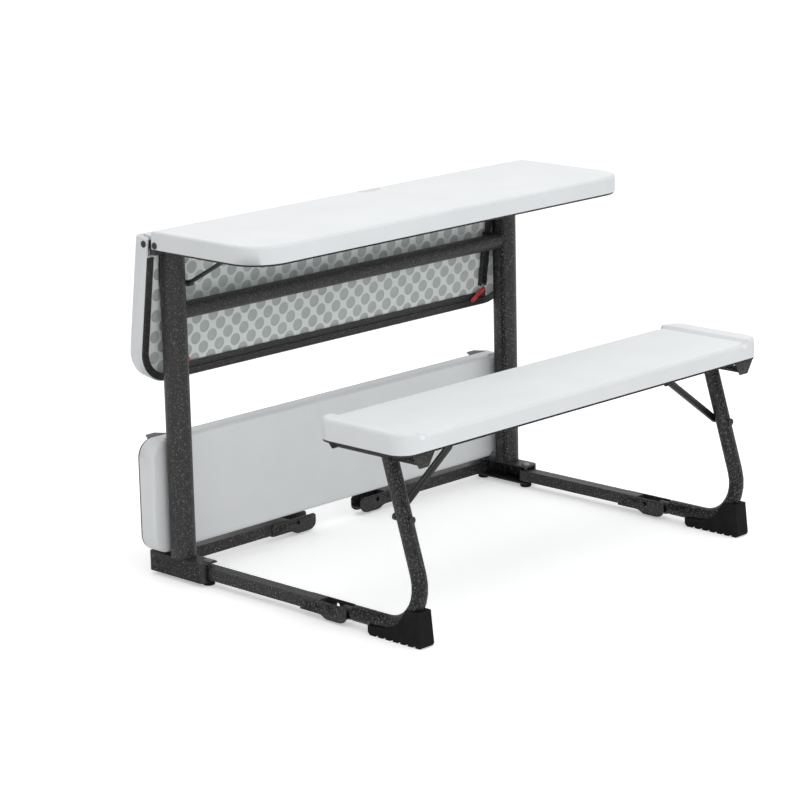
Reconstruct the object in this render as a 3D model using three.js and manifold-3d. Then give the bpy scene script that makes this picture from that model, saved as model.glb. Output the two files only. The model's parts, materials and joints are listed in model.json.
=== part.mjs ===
// Folding cafeteria table with two benches.
// Millimetres, +Z up, X along the table, -Y towards the bench that is set up.
import * as THREE from "three";
import { mergeVertices } from "three/addons/utils/BufferGeometryUtils.js";
import Module from "manifold-3d";

// Clearance between pieces that touch or turn
const GAP = 0.3;

// Table top halves
const TOP_LENGTH = 1108;
const TOP_HEIGHT = 740;
const TOP_THICK = 36;
const HALF_WIDTH = 318;
const SEAM_HALF_GAP = 1.5;
const TOP_CORNER = 74;
const TOP_EDGE = 6;
const FOLD_DEG = 82;
const HINGE_OFFSET = 16.5;
const HINGE_RISE = 8;
const HINGE_BOLT_R = 4;
const HINGE_WALL = 5;
const HINGE_SLOT = 10;
const HINGE_ARM = 8;
const HINGE_ARM_HEIGHT = 10;
const HINGE_ARM_FLARE = 2;
const HINGE_PLATE_HALF = 8;

// Rail under each half
const RAIL_INSET = 3;
const RAIL_WIDTH = 15;
const RAIL_THICK = 4;
const RAIL_START = 44;
const FLANGE_WIDTH = 14;
const FLANGE_THICK = 2;

// Posts and crossbar
const POST_OUT = 9;
const POST_WIDTH = 49;
const POST_DEPTH = 54;
const POST_DROP = 4;
const POST_CLEAR = 1.5;
const CROSSBAR_DROP = 139;
const CROSSBAR_R = 17.5;

// Base brackets, beam bolts and glides
const BASE_FRONT = 78;
const BASE_REAR = 92;
const BASE_TOP = 50;
const BASE_BOTTOM = 8;
const BASE_WALL = 3;
const BASE_CORNER = 12;
const BASE_OUTSIDE = 14.5;
const BASE_INSIDE = 14;
const BEAM_WAY = 2;
const FRONT_RIVET_INSET = 50;
const REAR_RIVET_INSET = 26;
const BEAM_PIVOT_Y = 65;
const BEAM_BOLT_R = 5;
const BEAM_BOLT_HEAD_R = 9;
const BEAM_BOLT_HEAD = 4;
const GLIDE_R = 13;
const RIVET_R = 4;
const RIVET_HEAD = 1.6;

// Top braces, their channels and levers
const BRACE_SIDE_GAP = 2.5;
const BRACE_WIDTH = 14;
const BRACE_THICK = 5;
const BRACE_PIVOT_Y = 13;
const BRACE_PIVOT_DROP = 82;
const BRACE_LENGTH = 158;
const BRACE_EYE_R = 6.5;
const BRACE_TIP_R = 4;
const BRACE_TIP_DROP = 6.5;
const BRACE_PIN_R = 4;
const BRACE_PIN_END = 2;
const EAR_THICK = 3;
const CHANNEL_DEPTH = 10;
const CHANNEL_WALL = 1.5;
const CHANNEL_MARGIN = 0.5;
const CHANNEL_BEFORE = 8;
const CHANNEL_STOP = 16;
const LEVER_LENGTH = 50;
const LEVER_WIDTH = 11;
const LEVER_THICK = 3;
const LEVER_EDGE = 1;
const LEVER_INSET = 14;
const LEVER_SHIFT = 3;
const LEVER_STUB_INSET = 5;
const LEVER_DEG = 32;
const LEVER_BOSS_R = 4;
const LEVER_STUB_R = 3;

// Floor beams and their end brackets
const BEAM_HALF_WIDTH = 13.5;
const BEAM_LIFT = 4.5;
const BEAM_HEIGHT = 25;
const BEAM_LENGTH = 340;
const SOCKET_GRIP = 52;
const SOCKET_REACH = 74;
const SOCKET_WALL = 2.5;
const SOCKET_LIP = 0.5;
const SOCKET_STOP = 3;
const SOCKET_RAISE = 3;
const SOCKET_LOBE = 5;
const SOCKET_RIVET_INSET = 14;
const SOCKET_RIVET_PITCH = 27.5;
const SOCKET_BOLT_INSET = 22;

// Benches
const BENCH_SHORTER = 18;
const BENCH_WIDTH = 239;
const BENCH_THICK = 34;
const BENCH_CORNER = 38;
const BENCH_EDGE = 6;
const RIDGE_HEIGHT = 7;
const RIDGE_WIDTH = 48;
const RIDGE_SLOPE = 6;
const NOTCH_R = 15;
const NOTCH_OUT = 4;
const NOTCH_RISE = 4;
const BENCH_UNDER = 388;
const BENCH_RAIL_INSET = 1;
const BENCH_RAIL_THICK = 4;
const STOW_CLEAR = 2.5;

// Bench legs
const LEG_INSET = 58;
const LEG_R = 16;
const LEG_DROP = 22.5;
const LEG_SPLAY_DEG = 17.2;
const LEG_BEND_R = 87;
const LEG_BEND_V = 13;
const LEG_AXLE_R = 7;
const LEG_PIN_R = 5;
const EAR_TOP_HALF = 31;
const EAR_LOW_HALF = 12;
const EAR_WALL = 3;
const SWAGE_R = 10.5;
const SWAGE_START = -84;
const SWAGE_END = -108;
const NECK = 8;
const NECK_CLEAR = 4;
const FOOT_HALF_WIDTH = 17.5;
const FOOT_TOP = 72;
const FOOT_RIB = 3;
const FOOT_BACK = 27;
const FOOT_TIP = 118;
const FOOT_HOLLOW = 30;
const TREAD_PITCH = 20;
const TREAD_WIDTH = 8;

// Leg braces
const LEG_BRACE_DROP = 118.5;
const LEG_BRACE_TIP_DROP = 33;
const LEG_BRACE_CLEAR = 33;
const LEG_BRACE_HALF = 7;
const LEG_BRACE_THICK = 6;
const STUD_R = 4;
const STUD_HEAD_R = 8;
const STUD_HEAD = 4;
const STRAP_WIDTH = 20;
const LUG_THICK = 4;

// Colours
const WHITE = { color: 0xe9eae8, roughness: 0.55, metalness: 0.0 };
const CHARCOAL = { color: 0x3a3d3f, roughness: 0.5, metalness: 0.35 };
const BLACK = { color: 0x141414, roughness: 0.7, metalness: 0.0 };
const RED = { color: 0xb3211c, roughness: 0.45, metalness: 0.0 };
const STEEL = { color: 0x55585a, roughness: 0.4, metalness: 0.7 };

const wasm = await Module();
wasm.setup();

const rad = THREE.MathUtils.degToRad;

// Shapes as geometries, joined and cut as solids

function solid(geometry) {
  const plain = geometry.clone();
  plain.deleteAttribute("normal");
  plain.deleteAttribute("uv");
  const merged = mergeVertices(plain, 1e-4);
  const mesh = new wasm.Mesh({
    numProp: 3,
    vertProperties: new Float32Array(merged.attributes.position.array),
    triVerts: new Uint32Array(merged.index.array),
  });
  return new wasm.Manifold(mesh);
}

function geometryOf(body) {
  const mesh = body.getMesh();
  const geometry = new THREE.BufferGeometry();
  const points = new Float32Array(mesh.vertProperties);
  geometry.setAttribute("position", new THREE.BufferAttribute(points, 3));
  geometry.setIndex(new THREE.BufferAttribute(new Uint32Array(mesh.triVerts), 1));
  geometry.computeVertexNormals();
  return geometry;
}

function join(...geometries) {
  let body = solid(geometries[0]);
  for (const other of geometries.slice(1)) {
    body = body.add(solid(other));
  }
  return geometryOf(body);
}

function cut(geometry, ...tools) {
  let body = solid(geometry);
  for (const tool of tools) {
    body = body.subtract(solid(tool));
  }
  return geometryOf(body);
}

function common(first, second) {
  return geometryOf(solid(first).intersect(solid(second)));
}

function box(x0, x1, y0, y1, z0, z1) {
  const geometry = new THREE.BoxGeometry(x1 - x0, y1 - y0, z1 - z0);
  return geometry.translate((x0 + x1) / 2, (y0 + y1) / 2, (z0 + z1) / 2);
}

function rodX(r, x0, x1, y, z, sides = 14) {
  const low = Math.min(x0, x1);
  const high = Math.max(x0, x1);
  const geometry = new THREE.CylinderGeometry(r, r, high - low, sides);
  return geometry.rotateZ(-Math.PI / 2).translate((low + high) / 2, y, z);
}

function rodY(r, y0, y1, x, z, sides = 14) {
  const geometry = new THREE.CylinderGeometry(r, r, y1 - y0, sides);
  return geometry.translate(x, (y0 + y1) / 2, z);
}

function rodZ(r, z0, z1, x, y, sides = 14) {
  const geometry = new THREE.CylinderGeometry(r, r, z1 - z0, sides);
  return geometry.rotateX(Math.PI / 2).translate(x, y, (z0 + z1) / 2);
}

// A bolt head with a rounded rim, its flat face at z 0 and its crown at +Z
function boltHead(r, height, sides = 14) {
  const profile = [
    new THREE.Vector2(0, 0),
    new THREE.Vector2(r, 0),
    new THREE.Vector2(r, height * 0.5),
    new THREE.Vector2(r * 0.65, height),
    new THREE.Vector2(0, height),
  ];
  return new THREE.LatheGeometry(profile, sides).rotateX(Math.PI / 2);
}

function polygon(points) {
  return new THREE.Shape(points.map(([a, b]) => new THREE.Vector2(a, b)));
}

// A flat shape drawn in (x, y), thickened from z0 to z1
function plate(shape, z0, z1, bevel = 0, curveSegments = 8) {
  const geometry = new THREE.ExtrudeGeometry(shape, {
    depth: z1 - z0 - 2 * bevel,
    bevelEnabled: bevel > 0,
    bevelThickness: bevel,
    bevelSize: bevel,
    bevelOffset: -bevel,
    bevelSegments: 2,
    curveSegments,
  });
  return geometry.translate(0, 0, z0 + bevel);
}

// A moulded slab on z = 0 with its upper edge rounded and its lower edge sharp
function slab(shape, thick, edge, curveSegments) {
  const whole = plate(shape, -2 * edge, thick, edge, curveSegments);
  whole.computeBoundingBox();
  const { min, max } = whole.boundingBox;
  return cut(whole, box(min.x - 5, max.x + 5, min.y - 5, max.y + 5, min.z - 5, 0));
}

// A shape drawn in (y, z), thickened along x
function plateYZ(shape, x0, x1, curveSegments = 8) {
  const low = Math.min(x0, x1);
  const high = Math.max(x0, x1);
  const geometry = plate(shape, low, high, 0, curveSegments);
  return geometry.applyMatrix4(
    new THREE.Matrix4().set(0, 0, 1, 0, 1, 0, 0, 0, 0, 1, 0, 0, 0, 0, 0, 1)
  );
}

// A shape drawn in (x, z), thickened along y
function plateXZ(shape, y0, y1, curveSegments = 8) {
  const geometry = plate(shape, -y1, -y0, 0, curveSegments);
  return geometry.rotateX(Math.PI / 2);
}

// A rectangle with a radius for each corner: low-low, high-low, high-high, low-high
function roundedRectangle(x0, x1, y0, y1, radii) {
  const [a, b, c, d] = radii;
  const shape = new THREE.Shape();
  shape.moveTo(x0 + a, y0);
  shape.lineTo(x1 - b, y0);
  shape.absarc(x1 - b, y0 + b, b, -Math.PI / 2, 0, false);
  shape.lineTo(x1, y1 - c);
  shape.absarc(x1 - c, y1 - c, c, 0, Math.PI / 2, false);
  shape.lineTo(x0 + d, y1);
  shape.absarc(x0 + d, y1 - d, d, Math.PI / 2, Math.PI, false);
  shape.lineTo(x0, y0 + a);
  shape.absarc(x0 + a, y0 + a, a, Math.PI, Math.PI * 1.5, false);
  return shape;
}

// A bar with round ends between two points
function link(length, r0, r1, half) {
  const shape = new THREE.Shape();
  const bend0 = Math.asin(Math.min(1, half / r0));
  const bend1 = Math.asin(Math.min(1, half / r1));
  shape.absarc(0, 0, r0, bend0, Math.PI * 2 - bend0, false);
  shape.absarc(length, 0, r1, -Math.PI + bend1, Math.PI - bend1, false);
  return shape;
}

const model = new THREE.Group();
model.name = "folding_cafeteria_table";

function addMesh(parent, name, geometry, look) {
  const mesh = new THREE.Mesh(geometry, new THREE.MeshStandardMaterial(look));
  mesh.name = name;
  parent.add(mesh);
  return mesh;
}

const SIDES = [
  { word: "left", sign: -1 },
  { word: "right", sign: 1 },
];

// Heights and lines that follow from the sizes above
const TOP_UNDER = TOP_HEIGHT - TOP_THICK;
const HINGE_Z = TOP_UNDER + HINGE_RISE;
const POST_TOP = TOP_UNDER - POST_DROP;
const CROSSBAR_Z = TOP_UNDER - CROSSBAR_DROP;
const BRACE_PIVOT_Z = TOP_UNDER - BRACE_PIVOT_DROP;
const BENCH_LENGTH = TOP_LENGTH - BENCH_SHORTER;
const LEG_X = BENCH_LENGTH / 2 - LEG_INSET;
const BEAM_X = LEG_X;
const POST_X = BEAM_X + POST_OUT;
const BRACE_X = POST_X - POST_WIDTH / 2 - BRACE_SIDE_GAP - BRACE_WIDTH / 2;
const BEAM_BOTTOM = BASE_BOTTOM + BASE_WALL + BEAM_LIFT;
const BOLT_HEAD_BASE = BASE_TOP + GAP;
const BOLT_HEAD_TOP = BOLT_HEAD_BASE + BEAM_BOLT_HEAD;
const BEAM_TOP = BEAM_BOTTOM + BEAM_HEIGHT;
const SOCKET_INNER = BEAM_HALF_WIDTH + GAP;
const SOCKET_OUTER = SOCKET_INNER + SOCKET_WALL;
const SOCKET_FLOOR = BEAM_BOTTOM - GAP;
const SOCKET_RAISED = SOCKET_FLOOR + SOCKET_RAISE;
const SOCKET_TOP = BEAM_TOP - SOCKET_LIP;
const SOCKET_START = BEAM_LENGTH - SOCKET_GRIP;
const SOCKET_STEP = BEAM_LENGTH + SOCKET_STOP;
const SOCKET_END = SOCKET_STEP + SOCKET_REACH;
const SOCKET_BOLT = SOCKET_STEP + SOCKET_BOLT_INSET;
const FIRST_RIVET = SOCKET_START + SOCKET_RIVET_INSET;
const SOCKET_RIVETS = [FIRST_RIVET, FIRST_RIVET + SOCKET_RIVET_PITCH];
const BENCH_CENTRE = BEAM_PIVOT_Y + SOCKET_END + NECK_CLEAR - SWAGE_START;
const LEG_LOW_Z = SOCKET_RAISED + GAP + SWAGE_R;

// Frame

function postShape(grow) {
  const halfX = POST_WIDTH / 2 + grow;
  const halfY = POST_DEPTH / 2 + grow;
  const r = halfX;
  return roundedRectangle(-halfX, halfX, -halfY, halfY, [r, r, r, r]);
}

function postBody(sign, grow) {
  const low = BASE_TOP + GAP - grow;
  return plate(postShape(grow), low, POST_TOP + grow, 0, 6).translate(sign * POST_X, 0, 0);
}

// Posts, each with the two pins that the top braces turn on
const PIN_END_X = BRACE_X - BRACE_WIDTH / 2 - BRACE_PIN_END;
for (const { word, sign } of SIDES) {
  const pieces = [postBody(sign, 0)];
  for (const y of [-BRACE_PIVOT_Y, BRACE_PIVOT_Y]) {
    pieces.push(rodX(BRACE_PIN_R, sign * POST_X, sign * PIN_END_X, y, BRACE_PIVOT_Z));
  }
  addMesh(model, `post_${word}`, join(...pieces), CHARCOAL);
}

let crossbar = rodX(CROSSBAR_R, -POST_X, POST_X, 0, CROSSBAR_Z, 22);
for (const { sign } of SIDES) {
  crossbar = cut(crossbar, postBody(sign, GAP));
}
addMesh(model, "crossbar", crossbar, CHARCOAL);

// Base brackets: channels open towards the middle, with ends that let the beams out
const BASE_OUTER_X = BEAM_X + BEAM_HALF_WIDTH + BASE_OUTSIDE;
const BASE_INNER_X = BEAM_X - BASE_INSIDE;
const FRONT_RIVET_Y = FRONT_RIVET_INSET - BASE_FRONT;
const REAR_RIVET_Y = BASE_REAR - REAR_RIVET_INSET;
for (const { word, sign } of SIDES) {
  const r = BASE_CORNER;
  const outline = roundedRectangle(
    BASE_INNER_X, BASE_OUTER_X, -BASE_FRONT, BASE_REAR, [1, r, r, 1]
  );
  const web = roundedRectangle(
    -BASE_FRONT, BASE_REAR, BASE_BOTTOM, BASE_TOP, [5, 5, 5, 5]
  );
  let bracket = common(
    plate(outline, BASE_BOTTOM, BASE_TOP, 0, 5),
    plateYZ(web, BASE_INNER_X - 1, BASE_OUTER_X + 1, 4)
  );
  const inside = roundedRectangle(
    BASE_INNER_X - 5, BASE_OUTER_X - BASE_WALL, BASE_WALL - BASE_FRONT,
    BASE_REAR - BASE_WALL, [1, r - BASE_WALL, r - BASE_WALL, 1]
  );
  bracket = cut(
    bracket,
    plate(inside, BASE_BOTTOM + BASE_WALL, BASE_TOP - BASE_WALL, 0, 5),
    box(
      BASE_INNER_X - 5, BEAM_X + BEAM_HALF_WIDTH + BEAM_WAY,
      -BASE_FRONT - 5, BASE_REAR + 5,
      BASE_BOTTOM + BASE_WALL, BASE_TOP - BASE_WALL
    )
  );
  for (const y of [-BEAM_PIVOT_Y, BEAM_PIVOT_Y]) {
    bracket = cut(bracket, rodZ(BEAM_BOLT_R + GAP, 0, BASE_TOP + 5, BEAM_X, y));
  }
  const middle = (BASE_BOTTOM + BASE_TOP) / 2;
  for (const y of [FRONT_RIVET_Y, REAR_RIVET_Y]) {
    const head = boltHead(RIVET_R, RIVET_HEAD + 0.5, 10).rotateY(Math.PI / 2);
    bracket = join(bracket, head.translate(BASE_OUTER_X - 0.5, y, middle));
  }
  if (sign < 0) {
    bracket.rotateZ(Math.PI);
    bracket.scale(1, -1, 1);
    bracket = turnOver(bracket);
  }
  addMesh(model, `base_bracket_${word}`, bracket, CHARCOAL);
}

// Turns every face of a mirrored geometry outward again
function turnOver(geometry) {
  const index = geometry.index.array;
  for (let i = 0; i < index.length; i += 3) {
    const first = index[i];
    index[i] = index[i + 1];
    index[i + 1] = first;
  }
  geometry.computeVertexNormals();
  return geometry;
}

const FOUR = [];
for (const bench of ["near", "far"]) {
  for (const { word, sign } of SIDES) {
    FOUR.push({ bench, word, sign, out: bench === "near" ? -1 : 1 });
  }
}

for (const { bench, word, sign, out } of FOUR) {
  const x = sign * BEAM_X;
  const y = out * BEAM_PIVOT_Y;
  const shank = rodZ(BEAM_BOLT_R, BASE_BOTTOM + GAP, BOLT_HEAD_BASE + 1, x, y);
  const head = boltHead(BEAM_BOLT_HEAD_R, BEAM_BOLT_HEAD, 16).translate(x, y, BOLT_HEAD_BASE);
  addMesh(model, `beam_bolt_${bench}_${word}`, join(shank, head), STEEL);
  const glideProfile = [
    new THREE.Vector2(0, 0),
    new THREE.Vector2(GLIDE_R - 2, 0),
    new THREE.Vector2(GLIDE_R, 2),
    new THREE.Vector2(GLIDE_R, BASE_BOTTOM - GAP),
    new THREE.Vector2(0, BASE_BOTTOM - GAP),
  ];
  const glide = new THREE.LatheGeometry(glideProfile, 18).rotateX(Math.PI / 2);
  addMesh(model, `glide_${bench}_${word}`, glide.translate(x, y, 0), BLACK);
}

// Hinge brackets on the posts' outer faces, with a plate in the slot of each half's end
const PANEL_END_X = TOP_LENGTH / 2;
const SLOT_OUTER_X = PANEL_END_X - HINGE_WALL;
const SLOT_INNER_X = SLOT_OUTER_X - HINGE_SLOT;
const PLATE_INNER_X = SLOT_INNER_X + 2;
const PLATE_OUTER_X = SLOT_OUTER_X - 3;
const HINGE_ARM_LOW = POST_TOP - HINGE_ARM_HEIGHT;
const PLATE_LOW_Z = HINGE_Z - HINGE_PLATE_HALF;
const PLATE_HIGH_Z = HINGE_Z + HINGE_PLATE_HALF;
const HINGE_ARM_HIGH = PLATE_LOW_Z - HINGE_ARM_FLARE;
for (const { word, sign } of SIDES) {
  const wide = HINGE_OFFSET + 10;
  const shape = polygon([
    [-HINGE_ARM, HINGE_ARM_LOW],
    [HINGE_ARM, HINGE_ARM_LOW],
    [HINGE_ARM, HINGE_ARM_HIGH],
    [wide, PLATE_LOW_Z],
    [wide, PLATE_HIGH_Z],
    [-wide, PLATE_HIGH_Z],
    [-wide, PLATE_LOW_Z],
    [-HINGE_ARM, HINGE_ARM_HIGH],
  ]);
  let holder = plateYZ(shape, sign * PLATE_INNER_X, sign * PLATE_OUTER_X);
  const armX0 = sign * POST_X;
  const armX1 = sign * (PLATE_INNER_X + 1);
  const arm = box(
    Math.min(armX0, armX1), Math.max(armX0, armX1),
    -HINGE_ARM, HINGE_ARM, HINGE_ARM_LOW, POST_TOP
  );
  holder = join(holder, cut(arm, postBody(sign, GAP)));
  for (const y of [-HINGE_OFFSET, HINGE_OFFSET]) {
    holder = cut(holder, rodX(
      HINGE_BOLT_R + GAP, sign * (PLATE_INNER_X - 5), sign * (PLATE_OUTER_X + 5), y, HINGE_Z
    ));
  }
  addMesh(model, `hinge_bracket_${word}`, holder, BLACK);
}
for (const { bench, word, sign, out } of FOUR) {
  const y = out * HINGE_OFFSET;
  const shank = rodX(
    HINGE_BOLT_R, sign * (PLATE_INNER_X - 1), sign * (PANEL_END_X + 2), y, HINGE_Z
  );
  const head = boltHead(7, 3.2, 14).rotateY(sign * Math.PI / 2);
  head.translate(sign * (PANEL_END_X + GAP), y, HINGE_Z);
  addMesh(model, `hinge_bolt_${bench}_${word}`, join(shank, head), BLACK);
}

// Table top halves, drawn flat with v outward from the seam and w up from the underside,
// then moved so that the hinge line is the group's origin

function toHinge(geometry) {
  return geometry.translate(0, -HINGE_OFFSET, -HINGE_RISE);
}

// A point of the folded half, seen from its own hinge line
function bracePoint(foldDeg, along, drop) {
  const a = rad(foldDeg);
  const b = -HINGE_RISE - drop;
  return new THREE.Vector2(
    HINGE_OFFSET + along * Math.cos(a) + b * Math.sin(a),
    HINGE_Z - along * Math.sin(a) + b * Math.cos(a)
  );
}

// How far out along the half the tip of a top brace lies
function braceReach(foldDeg) {
  const start = bracePoint(foldDeg, 0, BRACE_TIP_DROP);
  const a = rad(foldDeg);
  const y = start.x - BRACE_PIVOT_Y;
  const z = start.y - BRACE_PIVOT_Z;
  const half = y * Math.cos(a) - z * Math.sin(a);
  return -half + Math.sqrt(half * half - y * y - z * z + BRACE_LENGTH * BRACE_LENGTH);
}

function braceAngle(foldDeg) {
  const tip = bracePoint(foldDeg, braceReach(foldDeg), BRACE_TIP_DROP);
  return Math.atan2(tip.y - BRACE_PIVOT_Z, tip.x - BRACE_PIVOT_Y);
}

const BRACE_OPEN = braceAngle(0);
const BRACE_SHUT = braceAngle(FOLD_DEG);
const CHANNEL_HALF = BRACE_WIDTH / 2 + CHANNEL_MARGIN;
const CHANNEL_OUTER = CHANNEL_HALF + CHANNEL_WALL;
const CHANNEL_V0 = HINGE_OFFSET + braceReach(0) - CHANNEL_BEFORE;
const RAIL_OUTER_V = HALF_WIDTH - RAIL_INSET;
const RAIL_INNER_V = RAIL_OUTER_V - RAIL_WIDTH;
const FLANGE_V = RAIL_INNER_V - FLANGE_WIDTH;
const CHANNEL_V1 = FLANGE_V - CHANNEL_STOP;
const LEVER_V = FLANGE_V + LEVER_STUB_INSET;
const LEVER_X = BRACE_X - LEVER_INSET;

function topPanel() {
  const half = TOP_LENGTH / 2;
  const outline = roundedRectangle(
    -half, half, SEAM_HALF_GAP, HALF_WIDTH, [TOP_EDGE + 2, TOP_EDGE + 2, TOP_CORNER, TOP_CORNER]
  );
  let panel = slab(outline, TOP_THICK, TOP_EDGE, 7);
  for (const { sign } of SIDES) {
    const x0 = sign * SLOT_INNER_X;
    const x1 = sign * SLOT_OUTER_X;
    panel = cut(
      panel,
      box(
        Math.min(x0, x1), Math.max(x0, x1), -5, HINGE_OFFSET + 24, -5, HINGE_RISE + 16
      ),
      rodX(HINGE_BOLT_R + GAP, x1 - sign, sign * (half + 5), HINGE_OFFSET, HINGE_RISE)
    );
  }
  panel = toHinge(panel);
  // Hollows that take the posts as the half folds down beside them
  for (const { sign } of SIDES) {
    for (const angle of [FOLD_DEG, FOLD_DEG - 10, FOLD_DEG - 22]) {
      const post = postBody(sign, POST_CLEAR);
      post.translate(0, -HINGE_OFFSET, -HINGE_Z).rotateX(rad(angle));
      panel = cut(panel, post);
    }
  }
  return panel;
}

function topRail() {
  const outer = TOP_LENGTH / 2 - RAIL_INSET;
  const inner = outer - RAIL_WIDTH;
  const r = TOP_CORNER - RAIL_INSET;
  const s = r - RAIL_WIDTH;
  const shape = new THREE.Shape();
  shape.moveTo(-outer, RAIL_START);
  shape.lineTo(-inner, RAIL_START);
  shape.lineTo(-inner, RAIL_INNER_V - s);
  shape.absarc(-inner + s, RAIL_INNER_V - s, s, Math.PI, Math.PI / 2, true);
  shape.lineTo(inner - s, RAIL_INNER_V);
  shape.absarc(inner - s, RAIL_INNER_V - s, s, Math.PI / 2, 0, true);
  shape.lineTo(inner, RAIL_START);
  shape.lineTo(outer, RAIL_START);
  shape.lineTo(outer, RAIL_OUTER_V - r);
  shape.absarc(outer - r, RAIL_OUTER_V - r, r, 0, Math.PI / 2, false);
  shape.lineTo(-outer + r, RAIL_OUTER_V);
  shape.absarc(-outer + r, RAIL_OUTER_V - r, r, Math.PI / 2, Math.PI, false);
  const ring = plate(shape, -GAP - RAIL_THICK, -GAP, 0, 7);
  const flange = box(
    -inner + s, inner - s, FLANGE_V, RAIL_INNER_V + 2, -GAP - FLANGE_THICK, -GAP
  );
  let rail = join(ring, flange);
  for (const { sign } of SIDES) {
    rail = cut(rail, rodZ(LEVER_STUB_R + GAP, -RAIL_THICK - 5, 5, sign * LEVER_X, LEVER_V));
  }
  return toHinge(rail);
}

function topChannel(x) {
  const low = -GAP - CHANNEL_DEPTH;
  const base = -GAP - CHANNEL_WALL;
  const shape = polygon([
    [x - CHANNEL_OUTER, low],
    [x - CHANNEL_HALF, low],
    [x - CHANNEL_HALF, base],
    [x + CHANNEL_HALF, base],
    [x + CHANNEL_HALF, low],
    [x + CHANNEL_OUTER, low],
    [x + CHANNEL_OUTER, -GAP],
    [x - CHANNEL_OUTER, -GAP],
  ]);
  return toHinge(plateXZ(shape, CHANNEL_V0, CHANNEL_V1));
}

// A brace lies along +Y from its pivot, with its upper face towards +Z
function topBrace() {
  const half = BRACE_WIDTH / 2;
  const bar = plateYZ(
    link(BRACE_LENGTH, BRACE_EYE_R, BRACE_TIP_R, BRACE_THICK / 2), -half, half, 6
  );
  const hole = rodX(BRACE_PIN_R + GAP, -half - 5, half + 5, 0, 0);
  const slideEnd = CHANNEL_HALF - GAP;
  const slide = rodX(BRACE_TIP_R - 1, -slideEnd, slideEnd, BRACE_LENGTH, 0, 10);
  return join(cut(bar, hole), slide);
}

// A lever lies under the rail and turns on a stub in the flange, its pivot at the origin
function releaseLever() {
  const long = LEVER_LENGTH / 2;
  const wide = LEVER_WIDTH / 2;
  const r = wide - LEVER_EDGE;
  const high = -GAP - RAIL_THICK - GAP;
  const seat = -GAP - FLANGE_THICK - GAP;
  const shape = roundedRectangle(
    LEVER_SHIFT - long, LEVER_SHIFT + long, -wide, wide, [r, r, r, r]
  );
  return join(
    plate(shape, high - LEVER_THICK, high, LEVER_EDGE, 5),
    rodZ(LEVER_BOSS_R, high - LEVER_EDGE, seat, 0, 0),
    rodZ(LEVER_STUB_R, seat - 1, -2 * GAP, 0, 0)
  );
}

function halfTop(bench, flip) {
  const group = new THREE.Group();
  addMesh(group, `top_${bench}`, topPanel(), WHITE);
  addMesh(group, `top_rail_${bench}`, topRail(), CHARCOAL);
  for (const { word, sign } of SIDES) {
    const side = flip * sign;
    addMesh(group, `brace_channel_${bench}_${word}`, topChannel(side * BRACE_X), CHARCOAL);
    const lever = addMesh(group, `release_lever_${bench}_${word}`, releaseLever(), RED);
    lever.position.set(side * LEVER_X, LEVER_V - HINGE_OFFSET, -HINGE_RISE);
    lever.rotation.z = -rad(LEVER_DEG);
  }
  return group;
}

function placeBraces(bench, turnZ, angle) {
  const out = bench === "near" ? -1 : 1;
  for (const { word, sign } of SIDES) {
    const holder = new THREE.Group();
    holder.position.set(sign * BRACE_X, out * BRACE_PIVOT_Y, BRACE_PIVOT_Z);
    holder.rotation.z = turnZ;
    const arm = new THREE.Group();
    arm.rotation.x = angle;
    holder.add(arm);
    addMesh(arm, `top_brace_${bench}_${word}`, topBrace(), CHARCOAL);
    model.add(holder);
  }
}

const nearTop = halfTop("near", -1);
nearTop.position.set(0, -HINGE_OFFSET, HINGE_Z);
nearTop.rotation.z = Math.PI;
model.add(nearTop);
placeBraces("near", Math.PI, BRACE_OPEN);

const farTop = halfTop("far", 1);
farTop.position.set(0, HINGE_OFFSET, HINGE_Z);
farTop.rotation.x = -rad(FOLD_DEG);
model.add(farTop);
placeBraces("far", 0, BRACE_SHUT);

// Floor beams along +Y from the pivot

function beam() {
  const w = BEAM_HALF_WIDTH;
  const shape = roundedRectangle(-w, w, -w, BEAM_LENGTH, [w, w, 1, 1]);
  const tube = plate(shape, BEAM_BOTTOM, BEAM_TOP, 0, 7);
  const bore = rodZ(BEAM_BOLT_R + GAP, 0, BEAM_TOP + 5, 0, 0);
  return cut(tube, bore);
}

function endBracket() {
  const shape = new THREE.Shape();
  const low = SOCKET_FLOOR - SOCKET_WALL;
  shape.moveTo(SOCKET_START, low);
  shape.lineTo(SOCKET_STEP - 4, low);
  shape.bezierCurveTo(
    SOCKET_STEP + 8, low, SOCKET_BOLT - 10, SOCKET_LOBE, SOCKET_BOLT, SOCKET_LOBE
  );
  shape.lineTo(SOCKET_END - 22, SOCKET_LOBE);
  shape.bezierCurveTo(SOCKET_END - 8, SOCKET_LOBE, SOCKET_END, low, SOCKET_END, low + 8);
  shape.lineTo(SOCKET_END, SOCKET_TOP - 5);
  shape.lineTo(SOCKET_END - 5, SOCKET_TOP);
  shape.lineTo(SOCKET_START + 5, SOCKET_TOP);
  shape.lineTo(SOCKET_START, SOCKET_TOP - 5);
  let bracket = plateYZ(shape, -SOCKET_OUTER, SOCKET_OUTER, 6);
  bracket = cut(
    bracket,
    box(
      -SOCKET_INNER, SOCKET_INNER, SOCKET_START - 5, SOCKET_STEP, SOCKET_FLOOR, SOCKET_TOP + 5
    ),
    box(
      -SOCKET_INNER, SOCKET_INNER, SOCKET_STEP - 1, SOCKET_END + 5, SOCKET_RAISED, SOCKET_TOP + 5
    ),
    box(-SOCKET_INNER, SOCKET_INNER, SOCKET_STEP + 4, SOCKET_END + 5, 0, SOCKET_FLOOR)
  );
  return bracket;
}

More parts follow.
